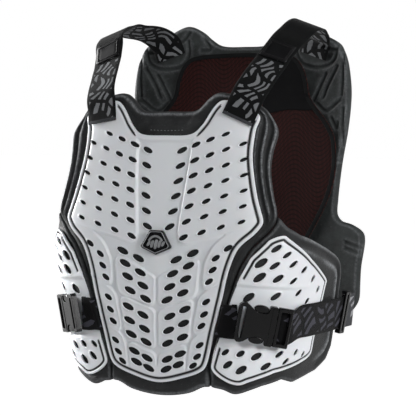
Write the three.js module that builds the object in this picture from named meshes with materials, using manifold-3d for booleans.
// Roost deflector: a motocross chest and back protector, shown fastened as if worn.
// Millimetres, +X to the viewer's right, front at -Y, +Z up.
// The origin is midway between the shoulder straps, at the height of their undersides.
// "left" is the -X side, as seen from the front.
import * as THREE from 'three';
import { mergeVertices } from 'three/addons/utils/BufferGeometryUtils.js';
import Module from 'manifold-3d';

const wasm = await Module();
wasm.setup();

// Driving dimensions

const trunkHalfWidth = 176;      // widest half width of the space for the body
const trunkDepth = 229;          // depth that the front and back tables share out
const trunkHeight = 480;         // shoulder line down to the lowest row
const foamThickness = 12;        // moulded foam of the front and the sides
const backFoamThickness = 14;
const plateThickness = 2.5;      // moulded shell
const clearance = 0.3;           // gap kept between pieces that touch
const facetSag = 0.55;           // depth by which flat facets cut under a curved layer

const plateHalfWidth = 141;      // at the widest corners
const plateHeight = 365;         // neck tips down to the bottom point
const plateTopDrop = 102;        // origin down to the neck tips
const foamMargin = 22;           // front foam beyond its plate
const foamCollar = 36;           // front foam above the plate's neck line
const foamHem = 19;              // front foam below the plate
const foamFlare = 8;             // the armhole edges turn outward by this
const flareStart = 2;            // front plate's edge to where the flare starts
const wingReach = 200;           // side foam, from the hinge line to the rear
const hingeGap = 0.8;            // between front foam and side foam

const backHalfWidth = 194;       // at the waist wings
const backHeight = 450;          // shoulder tabs down to the bottom
const backTopRise = 7;           // shoulder tabs above the origin
const backBow = 16;              // the pad's edges come forward by this
const backBowReach = 180;        // half width where the bow is measured
const bowPower = 2.2;            // above 2, the middle is flatter than the edges
const liningThickness = 1.5;
const bindingWidth = 6;
const bindingThickness = 1;

const webbingWidth = 45;
const webbingThickness = 2;
const strapFlare = 42;           // shoulder strap bows outward by this
const strapFootAcross = 0.688 * plateHalfWidth;   // arc from the centre to the strap's front end
const strapFootDrop = 132;       // origin down to the strap's front end
const strapTailAcross = 111;     // centre to the strap's back end
const strapTailDrop = 38;
const strapLap = 18;             // length of strap that lies on the back pad
const strapCant = 0.36;          // how far the strap leans outward across its width
const tabPlace = 0.385;          // share of the shoulder strap where its tab's centre is
const tabLength = 36;            // smooth tab on each shoulder strap
const tabWidth = 38;
const tabThickness = 1.2;

const waistDrop = 382;           // origin down to the waist straps' centre
const socketLength = 50;
const buckleHeight = 52;
const buckleThickness = 8;
const plugFrame = 20;            // length of the plug's webbing frame
const barWidth = 4.5;            // bars of frames and sliders
const armWidth = 6;
const armThickness = 4;
const notchRadius = 9;           // release notches in the socket's sides
const notchDepth = 6.8;
const socketCorner = 3;          // corners cut off the socket
const bulbBase = 5;              // half length of the plug's thumb bulbs, at the arm
const bulbTip = 2.7;             // and at their outer side
const buckleStart = 11;          // side foam's front edge to the socket
const strapFall = 12;            // plug to where the long strap lies on the side foam
const rearCorner = 0.93;         // share of backHalfWidth where the long strap ends
const sliderHeight = 58;
const sliderLength = 11;
const sliderThickness = 3.2;

const badgeHalfWidth = 23;
const badgeHeight = 30;
const badgeThickness = 4;
const badgeDrop = 286;           // origin down to the badge's centre

const slotLength = 12;           // vent slots of the front plate
const slotWidth = 6.2;
const slotTilt = 24;             // degrees, rising outward
const sideSlotTilt = 48;         // the same, on the side plates
const slotCorner = 0.6;          // centre to a slot's corner, over its length and width
const slotCut = 1.5;             // how far the cutters pass both faces of a plate

// The space for the body, as rows from the shoulders down.
// drop is a share of trunkHeight, half of trunkHalfWidth, front and back of trunkDepth.
const TRUNK_ROWS = [
  { drop: -0.042, half: 0.875, front: 0.349, back: 0.533, frontPower: 3.2, backPower: 3.8 },
  { drop: 0.104, half: 0.909, front: 0.393, back: 0.524, frontPower: 3.4, backPower: 4.0 },
  { drop: 0.271, half: 0.938, front: 0.428, back: 0.515, frontPower: 3.8, backPower: 4.2 },
  { drop: 0.375, half: 0.960, front: 0.472, back: 0.498, frontPower: 4.2, backPower: 4.2 },
  { drop: 0.500, half: 0.989, front: 0.520, back: 0.472, frontPower: 4.4, backPower: 4.2 },
  { drop: 0.594, half: 1.000, front: 0.546, back: 0.454, frontPower: 4.5, backPower: 4.2 },
  { drop: 0.750, half: 0.943, front: 0.555, back: 0.437, frontPower: 4.2, backPower: 4.2 },
  { drop: 0.896, half: 0.869, front: 0.546, back: 0.428, frontPower: 3.9, backPower: 4.2 },
  { drop: 1.000, half: 0.830, front: 0.533, back: 0.428, frontPower: 3.7, backPower: 4.2 },
];

// Side edge of the front plate, bottom corner to top corner.
// drop is a share of plateHeight, half of plateHalfWidth, margin of foamMargin.
const PLATE_EDGE = [
  { drop: 0.934, half: 0.486, margin: 0.16 },
  { drop: 0.816, half: 0.574, margin: 0.16 },
  { drop: 0.696, half: 0.656, margin: 0.30 },
  { drop: 0.584, half: 0.730, margin: 0.50 },
  { drop: 0.515, half: 0.809, margin: 0.64 },
  { drop: 0.463, half: 0.950, margin: 0.59 },
  { drop: 0.430, half: 1.000, margin: 0.61 },
  { drop: 0.389, half: 0.975, margin: 0.77 },
  { drop: 0.345, half: 0.940, margin: 0.82 },
  { drop: 0.249, half: 0.883, margin: 0.88 },
  { drop: 0.189, half: 0.860, margin: 1.03 },
  { drop: 0.110, half: 0.862, margin: 1.15 },
  { drop: 0.055, half: 0.879, margin: 0.64 },
];
// Hinge line, where front foam and side foam meet, ends at this drop.
const HINGE_TOP = 0.411;

// Neck line of the front plate, from the top corner to the centre.
const PLATE_NECK = [
  { drop: 0.055, half: 0.879 },
  { drop: 0.000, half: 0.546 },
  { drop: 0.090, half: 0.365 },
  { drop: 0.115, half: 0.305 },
  { drop: 0.126, half: 0.234 },
  { drop: 0.129, half: 0.000 },
];

// Bottom line of the front plate, from the corner to the centre.
const PLATE_BOTTOM = [
  { drop: 0.934, half: 0.486 },
  { drop: 0.953, half: 0.433 },
  { drop: 0.978, half: 0.270 },
  { drop: 1.000, half: 0.000 },
];

// Top line of the front foam: rise is a share of foamCollar above the plate's neck tips.
const FOAM_TOP = [
  { rise: -0.19, half: 0.894 },
  { rise: 0.25, half: 0.610 },
  { rise: 0.29, half: 0.482 },
  { rise: 0.10, half: 0.405 },
  { rise: -0.30, half: 0.300 },
  { rise: -0.37, half: 0.240 },
  { rise: -0.37, half: 0.000 },
];

// Bottom line of the front foam: fall is a share of foamHem below the plate's bottom point.
const FOAM_BOTTOM = [
  { fall: 0.10, half: 0.505 },
  { fall: 0.20, half: 0.440 },
  { fall: 0.76, half: 0.280 },
  { fall: 1.00, half: 0.000 },
];

// Where the flare of the armhole edges rises and falls, by plateHeight, and ends behind the
// hinge, by wingReach.
const FLARE = { rise: [0.05, 0.15], fall: [0.405, 0.465], behind: [0, 0.2] };

// Side foam: along is a share of wingReach behind the hinge line, drop of plateHeight.
const WING_TOP = [
  { drop: 0.411, along: 0.000 },
  { drop: 0.441, along: 0.075 },
  { drop: 0.469, along: 0.205 },
  { drop: 0.523, along: 0.645 },
  { drop: 0.547, along: 0.800 },
  { drop: 0.575, along: 0.905 },
];
const WING_REAR = [
  { drop: 0.945, along: 1.010 },
  { drop: 0.899, along: 1.085 },
  { drop: 0.863, along: 1.085 },
  { drop: 0.701, along: 1.020 },
  { drop: 0.625, along: 0.980 },
  { drop: 0.575, along: 0.905 },
];
const WING_BOTTOM = [
  { drop: 1.005, along: 0.000 },
  { drop: 1.016, along: 0.078 },
  { drop: 1.030, along: 0.143 },
  { drop: 1.025, along: 0.195 },
  { drop: 1.000, along: 0.305 },
  { drop: 0.980, along: 0.435 },
  { drop: 0.997, along: 0.540 },
  { drop: 0.975, along: 0.855 },
  { drop: 0.945, along: 1.010 },
];

// Side plate, in the same shares as the side foam.
const SIDE_PLATE_TOP = [
  { drop: 0.474, along: 0.110 },
  { drop: 0.605, along: 0.640 },
];
const SIDE_PLATE_REAR = [
  { drop: 0.915, along: 0.655 },
  { drop: 0.895, along: 0.715 },
  { drop: 0.852, along: 0.718 },
  { drop: 0.710, along: 0.715 },
  { drop: 0.635, along: 0.715 },
  { drop: 0.605, along: 0.640 },
];
const SIDE_PLATE_BOTTOM = [
  { drop: 0.962, along: 0.050 },
  { drop: 0.988, along: 0.135 },
  { drop: 0.991, along: 0.185 },
  { drop: 0.982, along: 0.230 },
  { drop: 0.947, along: 0.375 },
  { drop: 0.915, along: 0.655 },
];
const SIDE_PLATE_FRONT = [
  { drop: 0.962, along: 0.050 },
  { drop: 0.937, along: 0.018 },
  { drop: 0.895, along: 0.014 },
  { drop: 0.843, along: 0.018 },
  { drop: 0.685, along: 0.032 },
  { drop: 0.620, along: 0.045 },
  { drop: 0.551, along: 0.055 },
  { drop: 0.490, along: 0.075 },
  { drop: 0.474, along: 0.110 },
];

// Back pad: drop is a share of backHeight below the shoulder tabs, half of backHalfWidth.
const BACK_CENTRE = [
  { drop: 0.00, reach: 0.489, bow: 1.15 },
  { drop: 0.30, reach: 0.472, bow: 1.12 },
  { drop: 0.64, reach: 0.437, bow: 1.00 },
  { drop: 1.00, reach: 0.419, bow: 1.12 },
];
const BACK_EDGE = [
  { drop: 0.866, half: 0.919 },
  { drop: 0.838, half: 0.960 },
  { drop: 0.790, half: 0.967 },
  { drop: 0.739, half: 0.972 },
  { drop: 0.655, half: 1.000 },
  { drop: 0.633, half: 0.985 },
  { drop: 0.612, half: 0.900 },
  { drop: 0.600, half: 0.808 },
  { drop: 0.582, half: 0.773 },
  { drop: 0.536, half: 0.774 },
  { drop: 0.430, half: 0.800 },
  { drop: 0.325, half: 0.843 },
  { drop: 0.250, half: 0.862 },
  { drop: 0.200, half: 0.864 },
  { drop: 0.120, half: 0.836 },
  { drop: 0.087, half: 0.806 },
  { drop: 0.064, half: 0.773 },
];
const BACK_TOP = [
  { drop: 0.064, half: 0.773 },
  { drop: 0.028, half: 0.611 },
  { drop: 0.000, half: 0.450 },
  { drop: 0.020, half: 0.330 },
  { drop: 0.043, half: 0.266 },
  { drop: 0.062, half: 0.187 },
  { drop: 0.067, half: 0.000 },
];
const BACK_BOTTOM = [
  { drop: 0.866, half: 0.919 },
  { drop: 0.930, half: 0.758 },
  { drop: 0.984, half: 0.455 },
  { drop: 1.000, half: 0.000 },
];

// Mesh lining on the back pad's inner face, in the back pad's shares.
const LINING_EDGE = [
  { drop: 0.810, half: 0.303 },
  { drop: 0.730, half: 0.455 },
  { drop: 0.650, half: 0.579 },
  { drop: 0.568, half: 0.687 },
  { drop: 0.507, half: 0.747 },
  { drop: 0.450, half: 0.775 },
  { drop: 0.400, half: 0.778 },
  { drop: 0.345, half: 0.758 },
  { drop: 0.301, half: 0.697 },
  { drop: 0.257, half: 0.611 },
  { drop: 0.222, half: 0.550 },
  { drop: 0.174, half: 0.525 },
  { drop: 0.134, half: 0.490 },
];
const LINING_TOP = [
  { drop: 0.134, half: 0.490 },
  { drop: 0.105, half: 0.430 },
  { drop: 0.094, half: 0.343 },
  { drop: 0.088, half: 0.182 },
  { drop: 0.086, half: 0.000 },
];
const LINING_BOTTOM = [
  { drop: 0.810, half: 0.303 },
  { drop: 0.847, half: 0.152 },
  { drop: 0.855, half: 0.000 },
];
// Plain fabric panel over the lining, on +X only, inner end first.
const PANEL_TOP = [{ drop: 0.118, half: 0.180 }, { drop: 0.140, half: 0.450 }];
const PANEL_BOTTOM = [{ drop: 0.270, half: 0.180 }, { drop: 0.262, half: 0.520 }];

// Shoulder strap, from its foot on the front plate to its tail on the back pad.
// run is a share of the way back, rise of the way up to the crest, out of strapFlare.
const STRAP_PATH = [
  { run: 0.310, rise: 0.730, out: 0.68 },
  { run: 0.460, rise: 0.932, out: 0.91 },
  { run: 0.575, rise: 1.000, out: 1.00 },
  { run: 0.744, rise: 0.972, out: 0.86 },
  { run: 0.880, rise: 0.880, out: 0.60 },
];

// Shares of the strap over which it turns from the chest's surface, and to the back pad's.
const STRAP_TURNS = { fromChest: [0.12, 0.40], toBack: [0.75, 0.92] };

// Vent rows of the front plate's upper part: each row down moves inward and spreads.
// The small outer vents are finish and are left out of this solid.
const VENT_ROWS = [
  { first: 0, count: 2 },
  { first: 0, count: 3 },
  { first: 0, count: 3 },
  { first: 0, count: 3 },
  { first: 0, count: 3 },
  { first: 0, count: 3 },
  { first: 1, count: 2 },
];
const ventTop = { drop: 0.181, half: 0.181 };     // innermost vent of the top row
const ventStep = { drop: 0.0537, half: 0.1411 };  // between rows, and within the top row
const ventRise = 0.0189;                          // each vent is higher than the one inside it
const ventSpread = 0.0071;                        // pitch gained by each row
const ventCreep = 0.00255;                        // inward shift, by the row number squared
const ventShrink = 0.07;                          // size lost by each vent outward
const lowerVentScale = 1.1;

// Larger vents of the front plate's lower part, one side.
const LOWER_VENTS = [
  { drop: 0.537, half: 0.369 }, { drop: 0.581, half: 0.333 },
  { drop: 0.627, half: 0.305 }, { drop: 0.677, half: 0.277 },
  { drop: 0.562, half: 0.199 }, { drop: 0.611, half: 0.170 },
  { drop: 0.658, half: 0.142 }, { drop: 0.704, half: 0.113 },
  { drop: 0.734, half: 0.298 }, { drop: 0.784, half: 0.284 }, { drop: 0.833, half: 0.270 },
  { drop: 0.762, half: 0.142 }, { drop: 0.811, half: 0.128 }, { drop: 0.858, half: 0.113 },
  { drop: 0.893, half: 0.241 }, { drop: 0.932, half: 0.220 },
  { drop: 0.915, half: 0.106 }, { drop: 0.951, half: 0.092 },
];

// Largest vents of a side plate, clear of the waist strap.
const SIDE_VENTS = [
  { drop: 0.560, along: 0.105 }, { drop: 0.569, along: 0.178 },
  { drop: 0.611, along: 0.130 }, { drop: 0.614, along: 0.225 },
  { drop: 0.936, along: 0.175 }, { drop: 0.924, along: 0.320 },
];

// Badge outline, from the foot round: across is a share of badgeHalfWidth, up of half badgeHeight.
const BADGE_OUTLINE = [
  { across: 0.00, up: -1.00 },
  { across: 0.72, up: -0.62 },
  { across: 1.00, up: 0.35 },
  { across: 0.62, up: 0.93 },
  { across: 0.00, up: 1.00 },
  { across: -0.62, up: 0.93 },
  { across: -1.00, up: 0.35 },
  { across: -0.72, up: -0.62 },
];

// Divisions of each layer's grid, across and up.
const CELLS = {
  frontFoam: [10, 8],
  frontPlate: [9, 6],
  sideFoam: [9, 4],
  sidePlate: [13, 4],
  backFoam: [10, 8],
  lining: [8, 8],
  panel: [4, 4],
};

// Surfaces

/** Catmull-Rom value of a column of rows, at a height below the origin. */
function smoothColumn(rows, key, where) {
  const at = THREE.MathUtils.clamp(where, rows[0].drop, rows[rows.length - 1].drop);
  let i = 0;
  while (i < rows.length - 2 && rows[i + 1].drop < at) i += 1;
  const slope = (k) => {
    const before = rows[Math.max(k - 1, 0)];
    const after = rows[Math.min(k + 1, rows.length - 1)];
    return (after[key] - before[key]) / (after.drop - before.drop);
  };
  const span = rows[i + 1].drop - rows[i].drop;
  const t = (at - rows[i].drop) / span;
  return (2 * t ** 3 - 3 * t ** 2 + 1) * rows[i][key]
    + (t ** 3 - 2 * t ** 2 + t) * span * slope(i)
    + (3 * t ** 2 - 2 * t ** 3) * rows[i + 1][key]
    + (t ** 3 - t ** 2) * span * slope(i + 1);
}

const sectionSteps = 240;
const sections = new Map();

/** Half section of the body space at height z: arc length, x and y from front centre to back. */
function section(z) {
  const key = z.toFixed(3);
  if (sections.has(key)) return sections.get(key);
  const where = -z / trunkHeight;
  const half = trunkHalfWidth * smoothColumn(TRUNK_ROWS, 'half', where);
  const front = trunkDepth * smoothColumn(TRUNK_ROWS, 'front', where);
  const back = trunkDepth * smoothColumn(TRUNK_ROWS, 'back', where);
  const frontPower = smoothColumn(TRUNK_ROWS, 'frontPower', where);
  const backPower = smoothColumn(TRUNK_ROWS, 'backPower', where);
  const middle = (back - front) / 2;
  const reach = (front + back) / 2;
  const arc = [0];
  const xs = [];
  const ys = [];
  for (let i = 0; i <= sectionSteps; i += 1) {
    const angle = Math.PI * i / sectionSteps;
    const power = i <= sectionSteps / 2 ? frontPower : backPower;
    const across = Math.abs(Math.sin(angle)) ** (2 / power);
    const along = Math.abs(Math.cos(angle)) ** (2 / power);
    xs.push(half * across);
    ys.push(middle - Math.sign(Math.cos(angle)) * reach * along);
    if (i) arc.push(arc[i - 1] + Math.hypot(xs[i] - xs[i - 1], ys[i] - ys[i - 1]));
  }
  const result = { arc, xs, ys };
  sections.set(key, result);
  return result;
}

function onSection(s, z) {
  const { arc, xs, ys } = section(z);
  const length = Math.min(Math.abs(s), arc[arc.length - 1]);
  let i = 0;
  while (i < arc.length - 2 && arc[i + 1] < length) i += 1;
  const t = (length - arc[i]) / (arc[i + 1] - arc[i]);
  return new THREE.Vector3(
    Math.sign(s) * THREE.MathUtils.lerp(xs[i], xs[i + 1], t),
    THREE.MathUtils.lerp(ys[i], ys[i + 1], t),
    z,
  );
}

/** Point at arc length s from the front centre and height z, lifted off the body. */
function trunkPoint(s, z, lift = 0) {
  const base = onSection(s, z);
  const alongS = onSection(s + 1, z).sub(onSection(s - 1, z));
  const alongZ = onSection(s, z + 1).sub(onSection(s, z - 1));
  return base.addScaledVector(alongS.cross(alongZ).normalize(), lift);
}

function onBack(x, z) {
  const where = (backTopRise - z) / backHeight;
  const centre = trunkDepth * smoothColumn(BACK_CENTRE, 'reach', where);
  const bow = backBow * smoothColumn(BACK_CENTRE, 'bow', where);
  return new THREE.Vector3(x, centre - bow * Math.abs(x / backBowReach) ** bowPower, z);
}

/** Point on the back pad's inner face, lifted away from the body. */
function backPoint(x, z, lift = 0) {
  const alongX = onBack(x + 1, z).sub(onBack(x - 1, z));
  const alongZ = onBack(x, z + 1).sub(onBack(x, z - 1));
  return onBack(x, z).addScaledVector(alongZ.cross(alongX).normalize(), lift);
}

// Outlines in flat coordinates: [across or arc length, height]

const plateTop = -plateTopDrop;
const plateZ = (drop) => plateTop - drop * plateHeight;
const plateDrop = (z) => (plateTop - z) / plateHeight;
const backZ = (drop) => backTopRise - drop * backHeight;

/** Straight-line value of a column, by drop, in rows that may run either way. */
function columnAt(rows, key, drop) {
  const sorted = [...rows].sort((a, b) => a.drop - b.drop);
  const at = THREE.MathUtils.clamp(drop, sorted[0].drop, sorted[sorted.length - 1].drop);
  let i = 0;
  while (i < sorted.length - 2 && sorted[i + 1].drop < at) i += 1;
  const t = (at - sorted[i].drop) / (sorted[i + 1].drop - sorted[i].drop);
  return THREE.MathUtils.lerp(sorted[i][key], sorted[i + 1][key], t);
}

const plateEdge = (drop) => plateHalfWidth * columnAt(PLATE_EDGE, 'half', drop);
const foamEdge = (drop) => plateEdge(drop) + foamMargin * columnAt(PLATE_EDGE, 'margin', drop);
const wingStart = (drop) => foamEdge(Math.max(drop, HINGE_TOP)) + hingeGap;
const wingLine = (rows) => rows.map(({ drop, along }) => [
  wingStart(drop) + along * wingReach, plateZ(drop)]);
const backLine = (rows) => rows.map(({ drop, half }) => [half * backHalfWidth, backZ(drop)]);
const mirrored = (line) => line.map(([s, z]) => [-s, z]);

/** Left end to right end of a line that is given from its corner to the centre. */
function wholeLine(halfLine) {
  return [...mirrored(halfLine), ...[...halfLine].reverse().slice(1)];
}

// Grids and closed slabs

function measure(line) {
  const marks = [0];
  for (let i = 1; i < line.length; i += 1) {
    marks.push(marks[i - 1] + Math.hypot(line[i][0] - line[i - 1][0], line[i][1] - line[i - 1][1]));
  }
  return marks.map((mark) => mark / marks[marks.length - 1]);
}

function pointAt(line, marks, t) {
  let i = 0;
  while (i < line.length - 2 && marks[i + 1] < t) i += 1;
  const f = (t - marks[i]) / (marks[i + 1] - marks[i]);
  return [0, 1].map((k) => line[i][k] + f * (line[i + 1][k] - line[i][k]));
}

const nearMarks = 0.004;
const stepSlack = 0.05;

/** Marks of two facing lines, with those that nearly meet joined, and long steps divided. */
function knots(marksA, marksB, divisions) {
  const all = [...marksA, ...marksB].sort((a, b) => a - b);
  const kept = all.filter((mark, i) => i === 0 || mark - all[i - 1] > nearMarks);
  kept[kept.length - 1] = 1;
  const result = [];
  for (let i = 0; i < kept.length - 1; i += 1) {
    const parts = Math.ceil((kept[i + 1] - kept[i]) * divisions - stepSlack);
    for (let k = 0; k < parts; k += 1) result.push(kept[i] + (kept[i + 1] - kept[i]) * k / parts);
  }
  return [...result, 1];
}

/** Grid between four lines: bottom and top run left to right, left and right run upward. */
function grid(bottom, top, left, right, [columns, rows]) {
  const [b, t, l, r] = [bottom, top, left, right].map(measure);
  const us = knots(b, t, columns);
  const vs = knots(l, r, rows);
  const blend = (u, v) => {
    const [low, high] = [pointAt(bottom, b, u), pointAt(top, t, u)];
    const [west, east] = [pointAt(left, l, v), pointAt(right, r, v)];
    return [0, 1].map((k) => (1 - v) * low[k] + v * high[k] + (1 - u) * west[k] + u * east[k]
      - (1 - u) * (1 - v) * bottom[0][k] - u * (1 - v) * bottom[bottom.length - 1][k]
      - (1 - u) * v * top[0][k] - u * v * top[top.length - 1][k]);
  };
  return vs.map((v) => us.map((u) => blend(u, v)));
}

/** Volume inside a triangle list, positive when its faces point out. */
function signedVolume(points, triangles) {
  return triangles.reduce((sum, [a, b, c]) => (
    sum + points[a].dot(new THREE.Vector3().crossVectors(points[b], points[c])) / 6), 0);
}

function closedGeometry(points, triangles) {
  const outward = signedVolume(points, triangles) > 0;
  const geometry = new THREE.BufferGeometry();
  const values = points.flatMap((point) => [point.x, point.y, point.z]);
  geometry.setAttribute('position', new THREE.Float32BufferAttribute(values, 3));
  geometry.setIndex(triangles.flatMap(([a, b, c]) => (outward ? [a, b, c] : [a, c, b])));
  return geometry;
}

/** Loft through closed rings of equal length, with flat ends, or joined end to end. */
function loft(rings, joined = false) {
  const size = rings[0].length;
  const points = rings.flat();
  const triangles = [];
  const last = joined ? rings.length : rings.length - 1;
  for (let j = 0; j < last; j += 1) {
    for (let i = 0; i < size; i += 1) {
      const [a, b] = [j * size + i, j * size + (i + 1) % size];
      const [c, d] = [a, b].map((index) => (index + size) % points.length);
      triangles.push([a, b, d], [a, d, c]);
    }
  }
  if (!joined) {
    const end = (rings.length - 1) * size;
    for (let i = 1; i < size - 1; i += 1) {
      triangles.push([0, i + 1, i], [end, end + i, end + i + 1]);
    }
  }
  return closedGeometry(points, triangles);
}

/** Closed slab over a flat grid, between two lifts off a surface. */
function slab(cells, surface, inner, outer) {
  const rows = cells.length;
  const columns = cells[0].length;
  const level = (lift) => cells.flat().map(([s, z]) => surface(s, z, lift));
  const points = [...level(inner), ...level(outer)];
  const count = rows * columns;
  const triangles = [];
  for (let j = 0; j < rows - 1; j += 1) {
    for (let i = 0; i < columns - 1; i += 1) {
      const [a, b] = [j * columns + i, j * columns + i + 1];
      const [c, d] = [a + columns, b + columns];
      const straight = points[a].distanceTo(points[d]) < points[b].distanceTo(points[c]);
      const halves = straight ? [[a, b, d], [a, d, c]] : [[a, b, c], [b, d, c]];
      halves.forEach(([p, q, r]) => {
        triangles.push([p, r, q], [count + p, count + q, count + r]);
      });
    }
  }
  const rim = [];
  for (let i = 0; i < columns; i += 1) rim.push(i);
  for (let j = 1; j < rows; j += 1) rim.push(j * columns + columns - 1);
  for (let i = columns - 2; i >= 0; i -= 1) rim.push((rows - 1) * columns + i);
  for (let j = rows - 2; j > 0; j -= 1) rim.push(j * columns);
  rim.forEach((a, k) => {
    const b = rim[(k + 1) % rim.length];
    triangles.push([a, b, count + b], [a, count + b, count + a]);
  });
  return closedGeometry(points, triangles);
}

// Joining and cutting

function solid(geometry) {
  const bare = geometry.clone();
  bare.deleteAttribute('normal');
  bare.deleteAttribute('uv');
  const merged = mergeVertices(bare, 1e-4);
  return new wasm.Manifold(new wasm.Mesh({
    numProp: 3,
    vertProperties: new Float32Array(merged.attributes.position.array),
    triVerts: new Uint32Array(merged.index.array),
  }));
}

function geometryOf(manifold) {
  const mesh = manifold.getMesh();
  const geometry = new THREE.BufferGeometry();
  geometry.setAttribute('position', new THREE.Float32BufferAttribute(mesh.vertProperties, 3));
  geometry.setIndex([...mesh.triVerts]);
  return geometry;
}

function cut(geometry, cutters) {
  return geometryOf(cutters.reduce((body, cutter) => body.subtract(solid(cutter)), solid(geometry)));
}

const slotSides = 4;

/** Prism of an oval slot through a shell, between two lifts. */
function slotPrism(s, z, length, width, tilt, inner, outer) {
  const outward = Math.sign(s);
  const turn = THREE.MathUtils.degToRad(tilt);
  const ring = (lift) => Array.from({ length: slotSides }, (_, k) => {
    const angle = 2 * Math.PI * (k + 0.5) / slotSides;
    const p = Math.cos(angle) * length * slotCorner;
    const q = Math.sin(angle) * width * slotCorner;
    const across = outward * (p * Math.cos(turn) - q * Math.sin(turn));
    const up = p * Math.sin(turn) + q * Math.cos(turn);
    return trunkPoint(s + across, z + up, lift);
  });
  return loft([ring(inner), ring(outer)]);
}

// Lifts of the layers over the body

const foamOuter = foamThickness;
const plateInner = foamOuter + clearance + facetSag;
const plateOuter = plateInner + plateThickness;
const overPlate = plateOuter + clearance + facetSag / 2;

// Front and side pieces

const { smoothstep } = THREE.MathUtils;

/** How far a foam's armhole edge turns outward: nothing at the neck and below the hinge's top. */
function flare(share, drop) {
  return foamFlare * share * smoothstep(drop, ...FLARE.rise) * (1 - smoothstep(drop, ...FLARE.fall));
}

/** Front foam's surface, flared beyond the plate's edge. */
function flaredPoint(s, z, lift) {
  const drop = plateDrop(z);
  const start = plateEdge(drop) + flareStart;
  const share = THREE.MathUtils.clamp((Math.abs(s) - start) / (foamEdge(drop) - start), 0, 1);
  return trunkPoint(s, z, lift + flare(share, drop));
}

/** Row of cells with a point added at each end, where the flare starts. */
function withFlareStart(row) {
  const [end, z] = row[row.length - 1];
  const start = Math.min(plateEdge(plateDrop(z)) + flareStart, end - 1);
  return [row[0], [-start, z], ...row.slice(1, -1), [start, z], row[row.length - 1]];
}

function frontFoam() {
  const side = PLATE_EDGE.map(({ drop }) => [foamEdge(drop), plateZ(drop)]);
  const bottomHalf = FOAM_BOTTOM.map(({ fall, half }) => [
    half * plateHalfWidth, plateZ(1) - fall * foamHem]);
  const topHalf = FOAM_TOP.map(({ rise, half }) => [half * plateHalfWidth, plateTop + rise * foamCollar]);
  const right = [bottomHalf[0], ...side, topHalf[0]];
  const cells = grid(wholeLine(bottomHalf), wholeLine(topHalf), mirrored(right), right,
    CELLS.frontFoam);
  return slab(cells.map(withFlareStart), flaredPoint, 0, foamOuter);
}

function ventPlaces() {
  const places = [];
  VENT_ROWS.forEach(({ first, count }, row) => {
    for (let k = first; k < first + count; k += 1) {
      const half = ventTop.half - ventCreep * row ** 2 + k * (ventStep.half + ventSpread * row);
      places.push({ drop: ventTop.drop + ventStep.drop * row - ventRise * k, half, scale: 1 - ventShrink * k });
    }
  });
  LOWER_VENTS.forEach((place) => places.push({ ...place, scale: lowerVentScale }));
  return places;
}

function frontPlate() {
  const right = PLATE_EDGE.map(({ drop, half }) => [half * plateHalfWidth, plateZ(drop)]);
  const asLine = (rows) => rows.map(({ drop, half }) => [half * plateHalfWidth, plateZ(drop)]);
  const cells = grid(wholeLine(asLine(PLATE_BOTTOM)), wholeLine(asLine(PLATE_NECK)),
    mirrored(right), right, CELLS.frontPlate);
  const shell = slab(cells, trunkPoint, plateInner, plateOuter);
  const cutters = [-1, 1].flatMap((side) => ventPlaces().map(({ drop, half, scale }) => slotPrism(
    side * half * plateHalfWidth, plateZ(drop), slotLength * scale, slotWidth * scale, slotTilt,
    plateInner - slotCut, plateOuter + slotCut)));
  return cut(shell, cutters);
}

function sideFoam(side) {
  const front = PLATE_EDGE.filter(({ drop }) => drop > HINGE_TOP)
    .map(({ drop }) => [wingStart(drop), plateZ(drop)]);
  const left = [wingLine(WING_BOTTOM)[0], ...front, wingLine(WING_TOP)[0]];
  const cells = grid(wingLine(WING_BOTTOM), wingLine(WING_TOP), left, wingLine(WING_REAR),
    CELLS.sideFoam);
  const placed = cells.map((row) => row.map(([s, z]) => [side * s, z]));
  const surface = (s, z, lift) => {
    const behind = (Math.abs(s) - wingStart(plateDrop(z))) / wingReach;
    return trunkPoint(s, z, lift + flare(1 - smoothstep(behind, ...FLARE.behind), plateDrop(z)));
  };
  return slab(placed, surface, 0, foamOuter);
}

function sidePlate(side) {
  const cells = grid(wingLine(SIDE_PLATE_BOTTOM), wingLine(SIDE_PLATE_TOP),
    wingLine(SIDE_PLATE_FRONT), wingLine(SIDE_PLATE_REAR), CELLS.sidePlate);
  const placed = cells.map((row) => row.map(([s, z]) => [side * s, z]));
  const shell = slab(placed, trunkPoint, plateInner, plateOuter);
  const cutters = SIDE_VENTS.map(({ drop, along: share }) => slotPrism(
    side * (wingStart(drop) + share * wingReach), plateZ(drop), slotLength, slotWidth, sideSlotTilt,
    plateInner - slotCut, plateOuter + slotCut));
  return cut(shell, cutters);
}

/** Shield badge: flat sides, a pointed foot and a bevelled rim, on the plate. */
function badge() {
  const bevel = badgeThickness / 3;
  const ring = (scale, lift) => BADGE_OUTLINE.map(({ across, up }) => trunkPoint(
    across * scale * badgeHalfWidth, up * scale * badgeHeight / 2 - badgeDrop, lift));
  const inset = 1 - bevel / badgeHalfWidth;
  return loft([ring(1, overPlate), ring(1, overPlate + badgeThickness - bevel),
    ring(inset, overPlate + badgeThickness)]);
}

// Back pieces

function backFoam() {
  const right = backLine(BACK_EDGE);
  const cells = grid(wholeLine(backLine(BACK_BOTTOM)), wholeLine(backLine(BACK_TOP)),
    mirrored(right), right, CELLS.backFoam);
  return slab(cells, backPoint, 0, backFoamThickness);
}

function liningGrid() {
  const right = backLine(LINING_EDGE);
  return grid(wholeLine(backLine(LINING_BOTTOM)), wholeLine(backLine(LINING_TOP)),
    mirrored(right), right, CELLS.lining);
}

const liningOuter = -clearance - facetSag / 4;
const liningInner = liningOuter - liningThickness;
const overLining = liningInner - clearance;

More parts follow.
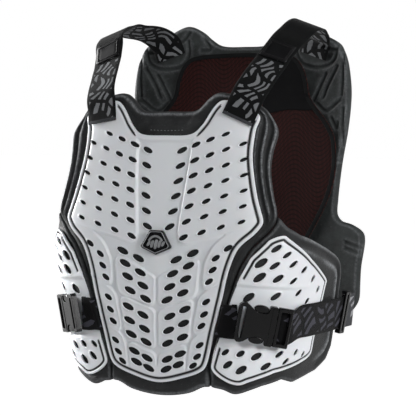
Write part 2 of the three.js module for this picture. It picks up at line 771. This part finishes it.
/** Tape over the lining's edge, all the way round. */
function liningBinding() {
  const rightUp = backLine(LINING_EDGE);
  const topLeftward = [...wholeLine(backLine(LINING_TOP))].reverse().slice(1);
  const leftDown = [...mirrored(rightUp)].reverse().slice(1);
  const bottomRightward = wholeLine(backLine(LINING_BOTTOM)).slice(1, -1);
  const outline = [...rightUp, ...topLeftward, ...leftDown, ...bottomRightward];
  const rings = outline.map(([x, z], i) => {
    const before = outline[(i + outline.length - 1) % outline.length];
    const after = outline[(i + 1) % outline.length];
    const way = new THREE.Vector2(after[0] - before[0], after[1] - before[1]).normalize();
    const inward = new THREE.Vector2(-way.y, way.x).multiplyScalar(bindingWidth);
    const [inX, inZ] = [x + inward.x, z + inward.y];
    return [
      backPoint(x, z, overLining), backPoint(inX, inZ, overLining),
      backPoint(inX, inZ, overLining - bindingThickness), backPoint(x, z, overLining - bindingThickness),
    ];
  });
  return loft(rings, true);
}

function liningPanel() {
  const [bottom, top] = [PANEL_BOTTOM, PANEL_TOP].map(backLine);
  const cells = grid(bottom, top, [bottom[0], top[0]], [bottom[1], top[1]], CELLS.panel);
  return slab(cells, backPoint, overLining - bindingThickness, overLining);
}

// Shoulder straps

const strapLead = [0, 20, 40];   // heights above the strap's foot where it lies on the chest

/** Centre line of the +X shoulder strap, along its underside. */
function strapCurve() {
  const chest = strapLead.map((height) => trunkPoint(
    strapFootAcross + strapCant * height, height - strapFootDrop, overPlate + clearance));
  const tailLift = -3 * clearance - webbingThickness;
  const tail = backPoint(strapTailAcross, -strapTailDrop, tailLift);
  const lap = backPoint(strapTailAcross + strapCant * strapLap, strapLap - strapTailDrop, 2 * tailLift);
  const way = STRAP_PATH.map(({ run, rise, out }) => new THREE.Vector3(
    chest[0].x + out * strapFlare,
    THREE.MathUtils.lerp(chest[0].y, tail.y, run),
    (rise - 1) * strapFootDrop,
  ));
  return new THREE.CatmullRomCurve3([...chest, ...way, lap, tail], false, 'centripetal');
}

/** Direction across the strap where it lies on the chest, and where it lies on the back pad. */
const chestAcross = trunkPoint(strapFootAcross + 1, -strapFootDrop - strapCant)
  .sub(trunkPoint(strapFootAcross - 1, -strapFootDrop + strapCant)).normalize();
const backAcross = backPoint(strapTailAcross + 1, -strapTailDrop - strapCant)
  .sub(backPoint(strapTailAcross - 1, -strapTailDrop + strapCant)).normalize();

/** Frame at a share of the strap: point, outward normal and direction across its width. */
function strapFrame(curve, t) {
  const point = curve.getPointAt(t);
  const tangent = curve.getTangentAt(t);
  const lean = new THREE.Vector3(1, 0, -strapCant).normalize();
  const fromChest = smoothstep(t, ...STRAP_TURNS.fromChest);
  const toBack = smoothstep(t, ...STRAP_TURNS.toBack);
  lean.lerpVectors(chestAcross, lean, fromChest).lerp(backAcross, toBack);
  const across = lean.addScaledVector(tangent, -lean.dot(tangent)).normalize();
  return { point, across, normal: new THREE.Vector3().crossVectors(across, tangent) };
}

/** Ribbon along part of the strap, between two lifts off its underside. */
function strapRibbon(from, to, width, inner, outer, steps, side) {
  const curve = strapCurve();
  const rings = [];
  for (let i = 0; i <= steps; i += 1) {
    const { point, across, normal } = strapFrame(curve, from + (to - from) * i / steps);
    const corner = (half, lift) => {
      const place = point.clone().addScaledVector(across, half * width / 2).addScaledVector(normal, lift);
      return new THREE.Vector3(side * place.x, place.y, place.z);
    };
    rings.push([corner(-1, inner), corner(1, inner), corner(1, outer), corner(-1, outer)]);
  }
  return loft(rings);
}

const strapSteps = 26;
const tabSteps = 4;

const shoulderStrap = (side) => strapRibbon(
  0, 1, webbingWidth, 0, webbingThickness, strapSteps, side);

function strapTab(side) {
  const length = strapCurve().getLength();
  const half = tabLength / length / 2;
  const lift = webbingThickness + clearance;
  return strapRibbon(tabPlace - half, tabPlace + half, tabWidth, lift, lift + tabThickness,
    tabSteps, side);
}

// Waist straps and buckles

const waistZ = -waistDrop;
const waistShare = plateDrop(waistZ);
const socketStart = wingStart(waistShare) + buckleStart;
const socketMiddle = socketStart + socketLength / 2;
const plugOffset = clearance + plugFrame / 2;     // socket's middle to the whole buckle's middle
const strapLift = overPlate + clearance;
const buckleLift = strapLift + webbingThickness + 2 * clearance;
const slotHeight = webbingWidth + 1;

/** Frame of the +X socket: x along the strap, y up, z outward. The buckle's middle touches. */
function buckleFrame() {
  const middle = socketMiddle + plugOffset;
  const at = (s, z) => trunkPoint(s, z, buckleLift);
  const ahead = at(middle + 1, waistZ).sub(at(middle - 1, waistZ)).normalize();
  const slope = at(middle, waistZ + 1).sub(at(middle, waistZ - 1));
  const outward = new THREE.Vector3().crossVectors(ahead, slope).normalize();
  const up = new THREE.Vector3().crossVectors(outward, ahead);
  const place = at(middle, waistZ).addScaledVector(ahead, -plugOffset);
  return new THREE.Matrix4().makeBasis(ahead, up, outward).setPosition(place);
}

function seated(geometry, side) {
  const placed = geometry.clone();
  placed.applyMatrix4(buckleFrame());
  return side > 0 ? placed : mirrorX(placed);
}

function mirrorX(geometry) {
  const flipped = mergeVertices(bareGeometry(geometry), 1e-4);
  flipped.applyMatrix4(new THREE.Matrix4().makeScale(-1, 1, 1));
  const index = [...flipped.index.array];
  for (let i = 0; i < index.length; i += 3) [index[i + 1], index[i + 2]] = [index[i + 2], index[i + 1]];
  flipped.setIndex(index);
  return flipped;
}

function bareGeometry(geometry) {
  const bare = geometry.clone();
  bare.deleteAttribute('normal');
  bare.deleteAttribute('uv');
  return bare;
}

/** Extruded outline from z = from to z = to. */
function plateShape(outline, from, to, holes = []) {
  const shape = new THREE.Shape(outline.map(([x, y]) => new THREE.Vector2(x, y)));
  holes.forEach((hole) => shape.holes.push(new THREE.Path(hole.map(([x, y]) => new THREE.Vector2(x, y)))));
  const geometry = new THREE.ExtrudeGeometry(shape, { depth: to - from, bevelEnabled: false });
  geometry.translate(0, 0, from);
  return geometry;
}

function rectangle(left, right, bottom, top) {
  return [[left, bottom], [right, bottom], [right, top], [left, top]];
}

const notchSteps = 6;

/** Socket outline: square ends, and a round release notch in the top and bottom sides. */
function socketOutline() {
  const [l, h] = [socketLength / 2, buckleHeight / 2];
  const notch = Array.from({ length: notchSteps + 1 }, (_, k) => Math.PI * k / notchSteps);
  const c = socketCorner;
  return [
    [-l, -h + c], [-l + c, -h],
    ...notch.map((a) => [-notchRadius * Math.cos(a), -h + notchDepth * Math.sin(a)]),
    [l - c, -h], [l, -h + c], [l, h - c], [l - c, h],
    ...notch.map((a) => [notchRadius * Math.cos(a), h - notchDepth * Math.sin(a)]),
    [-l + c, h], [-l, h - c],
  ];
}

const armY = buckleHeight / 2 - notchDepth - armWidth / 2;
const armReach = socketLength / 2 + notchRadius;
const armBase = (buckleThickness - armThickness) / 2;

/** Socket half: a slot for the webbing at its front end, and two tunnels for the arms. */
function buckleSocket(side) {
  const l = socketLength / 2;
  const slot = rectangle(-l + barWidth, -l + 2 * barWidth, -slotHeight / 2 + 2, slotHeight / 2 - 2);
  const body = plateShape(socketOutline(), 0, buckleThickness, [slot]);
  const tunnels = [-1, 1].map((up) => plateShape(
    rectangle(l - armReach - 2 * clearance, l + 1,
      up * armY - armWidth / 2 - 4 * clearance, up * armY + armWidth / 2 + 4 * clearance),
    armBase - 2 * clearance, armBase + armThickness + 2 * clearance));
  return seated(cut(body, tunnels), side);
}

/** Plug half: a frame for the webbing, and two arms with a bulb in each notch. */
function bucklePlug(side) {
  const l = socketLength / 2;
  const [start, end] = [l + 2 * clearance, l + 2 * clearance + plugFrame];
  const h = buckleHeight / 2;
  const hole = rectangle(start + barWidth, end - barWidth, -slotHeight / 2, slotHeight / 2);
  const frame = solid(plateShape(rectangle(start, end, -h, h), 0, buckleThickness * 0.7, [hole]));
  const arms = [-1, 1].map((up) => solid(plateShape(
    rectangle(l - armReach, start + 1, up * armY - armWidth / 2, up * armY + armWidth / 2),
    armBase, armBase + armThickness)));
  const bulbs = [-1, 1].map((up) => solid(plateShape(
    [[-bulbBase, up * armY], [-bulbBase, up * (armY + armWidth / 2)],
      [-bulbTip, up * (armY + armWidth)], [bulbTip, up * (armY + armWidth)],
      [bulbBase, up * (armY + armWidth / 2)], [bulbBase, up * armY]],
    armBase, armBase + armThickness)));
  const plug = [...arms, ...bulbs].reduce((body, piece) => body.add(piece), frame);
  return seated(geometryOf(plug), side);
}

const waistBottom = waistZ - webbingWidth / 2;
const waistTop = waistZ + webbingWidth / 2;

/** Webbing between the undersides of its lower and upper edges. */
function edgedWebbing(lows, highs, side) {
  const rings = lows.map((low, i) => {
    const ahead = lows[Math.min(i + 1, lows.length - 1)].clone().sub(lows[Math.max(i - 1, 0)]);
    const outward = ahead.cross(highs[i].clone().sub(low)).normalize();
    const out = (point) => point.clone().addScaledVector(outward, webbingThickness);
    return [low, highs[i], out(highs[i]), out(low)].map((p) => new THREE.Vector3(side * p.x, p.y, p.z));
  });
  return loft(rings);
}

/** Point under the buckle, along the strap and at a height. */
function underBuckle(ahead, z) {
  return new THREE.Vector3(ahead, z - waistZ, -webbingThickness - clearance)
    .applyMatrix4(buckleFrame());
}

/** Short strap: from under the front plate's edge, over the side plate, to under the socket. */
function frontWaistStrap(side) {
  const start = (z) => plateEdge(plateDrop(z)) + 1.5 * webbingThickness;
  const hinge = (z) => wingStart(plateDrop(z));
  const between = (from, to, share) => (z) => THREE.MathUtils.lerp(from(z), to(z), share);
  const [onHinge, behindHinge] = [(z) => hinge(z) - 1, (z) => hinge(z) + 3];
  const ahead = between(hinge, () => socketStart, 0.6);
  const [inner, over] = [plateInner + clearance, strapLift + 2 * clearance];
  const stations = [
    [start, inner],
    [between(start, onHinge, 0.5), (inner + over) / 2],
    [onHinge, over],
    [between(onHinge, behindHinge, 0.5), (over + strapLift) / 2],
    [behindHinge, strapLift],
    [between(behindHinge, ahead, 0.5), strapLift],
    [ahead, strapLift],
  ];
  const edge = (z) => {
    const points = stations.map(([s, lift]) => trunkPoint(s(z), z, lift));
    const last = points[points.length - 1];
    const end = underBuckle(-socketLength / 2 + 1.5 * barWidth, z);
    const rest = [1, 2, 3].map((k) => last.clone().lerp(end, k / 3));
    return [...points, ...rest];
  };
  return edgedWebbing(edge(waistBottom), edge(waistTop), side);
}

const routeSteps = 6;
const rearSteps = 24;

/** Way of one edge of the long strap, from under the plug's frame to the back pad's corner. */
function rearRoute(z) {
  const frameEnd = socketLength / 2 + 2 * clearance + plugFrame;
  const from = socketMiddle + frameEnd + strapFall;
  const wingEnd = wingStart(waistShare) + wingReach;
  const points = [underBuckle(frameEnd - barWidth / 2, z)];
  for (let k = 0; k <= routeSteps; k += 1) {
    points.push(trunkPoint(THREE.MathUtils.lerp(from, wingEnd, k / routeSteps), z, strapLift));
  }
  points.push(backPoint(rearCorner * backHalfWidth, z, -clearance - webbingThickness));
  return new THREE.CatmullRomCurve3(points, false, 'centripetal');
}

function rearWaistStrap(side) {
  const edge = (z) => rearRoute(z).getSpacedPoints(rearSteps);
  return edgedWebbing(edge(waistBottom), edge(waistTop), side);
}

/** Ladder slider round the long strap, midway between the side foam and the back pad's corner. */
function strapSlider(side) {
  const segments = routeSteps + 2;
  const midway = (segments - 0.5) / segments;
  const [low, high] = [waistBottom, waistTop].map((z) => rearRoute(z).getPoint(midway));
  const point = low.clone().lerp(high, 0.5);
  const up = high.clone().sub(low).normalize();
  const way = rearRoute(waistZ).getTangent(midway);
  const outward = new THREE.Vector3().crossVectors(way, up).normalize();
  way.crossVectors(up, outward);
  const [h, l] = [sliderHeight / 2, sliderLength / 2];
  const inside = [slotHeight / 2 + 1, 1.1 * webbingThickness];
  const around = plateShape(rectangle(-h, h, -sliderThickness - 1, sliderThickness + 1), -l, l,
    [rectangle(-inside[0], inside[0], -inside[1], inside[1])]);
  const basis = new THREE.Matrix4().makeBasis(up, outward, way);
  const middle = point.addScaledVector(outward, webbingThickness / 2);
  around.applyMatrix4(basis.setPosition(middle));
  return side > 0 ? around : mirrorX(around);
}

// Assembly

const looks = {
  shell: { color: 0xf0f1f3, roughness: 0.35, metalness: 0 },
  foam: { color: 0x35373a, roughness: 0.85, metalness: 0 },
  backFoam: { color: 0x4a4d4f, roughness: 0.85, metalness: 0 },
  mesh: { color: 0x4a2224, roughness: 0.95, metalness: 0 },
  tape: { color: 0x232427, roughness: 0.9, metalness: 0 },
  webbing: { color: 0x2a2b2e, roughness: 0.9, metalness: 0 },
  rubber: { color: 0x303236, roughness: 0.6, metalness: 0 },
  acetal: { color: 0x26272a, roughness: 0.4, metalness: 0 },
  badge: { color: 0x15161a, roughness: 0.4, metalness: 0 },
};

const protector = new THREE.Group();

function add(name, look, geometry) {
  const bare = mergeVertices(bareGeometry(geometry), 1e-4);
  bare.computeVertexNormals();
  const mesh = new THREE.Mesh(bare, new THREE.MeshStandardMaterial(looks[look]));
  mesh.name = name;
  protector.add(mesh);
}

add('front_foam', 'foam', frontFoam());
add('front_plate', 'shell', frontPlate());
add('badge', 'badge', badge());
add('back_foam', 'backFoam', backFoam());
add('back_lining', 'mesh', slab(liningGrid(), backPoint, liningInner, liningOuter));
add('lining_binding', 'tape', liningBinding());
add('lining_panel', 'tape', liningPanel());
[['left', -1], ['right', 1]].forEach(([name, side]) => {
  add(`side_foam_${name}`, 'foam', sideFoam(side));
  add(`side_plate_${name}`, 'shell', sidePlate(side));
  add(`shoulder_strap_${name}`, 'webbing', shoulderStrap(side));
  add(`strap_tab_${name}`, 'rubber', strapTab(side));
  add(`waist_strap_front_${name}`, 'webbing', frontWaistStrap(side));
  add(`buckle_socket_${name}`, 'acetal', buckleSocket(side));
  add(`buckle_plug_${name}`, 'acetal', bucklePlug(side));
  add(`waist_strap_rear_${name}`, 'webbing', rearWaistStrap(side));
  add(`strap_slider_${name}`, 'acetal', strapSlider(side));
});

export default protector;
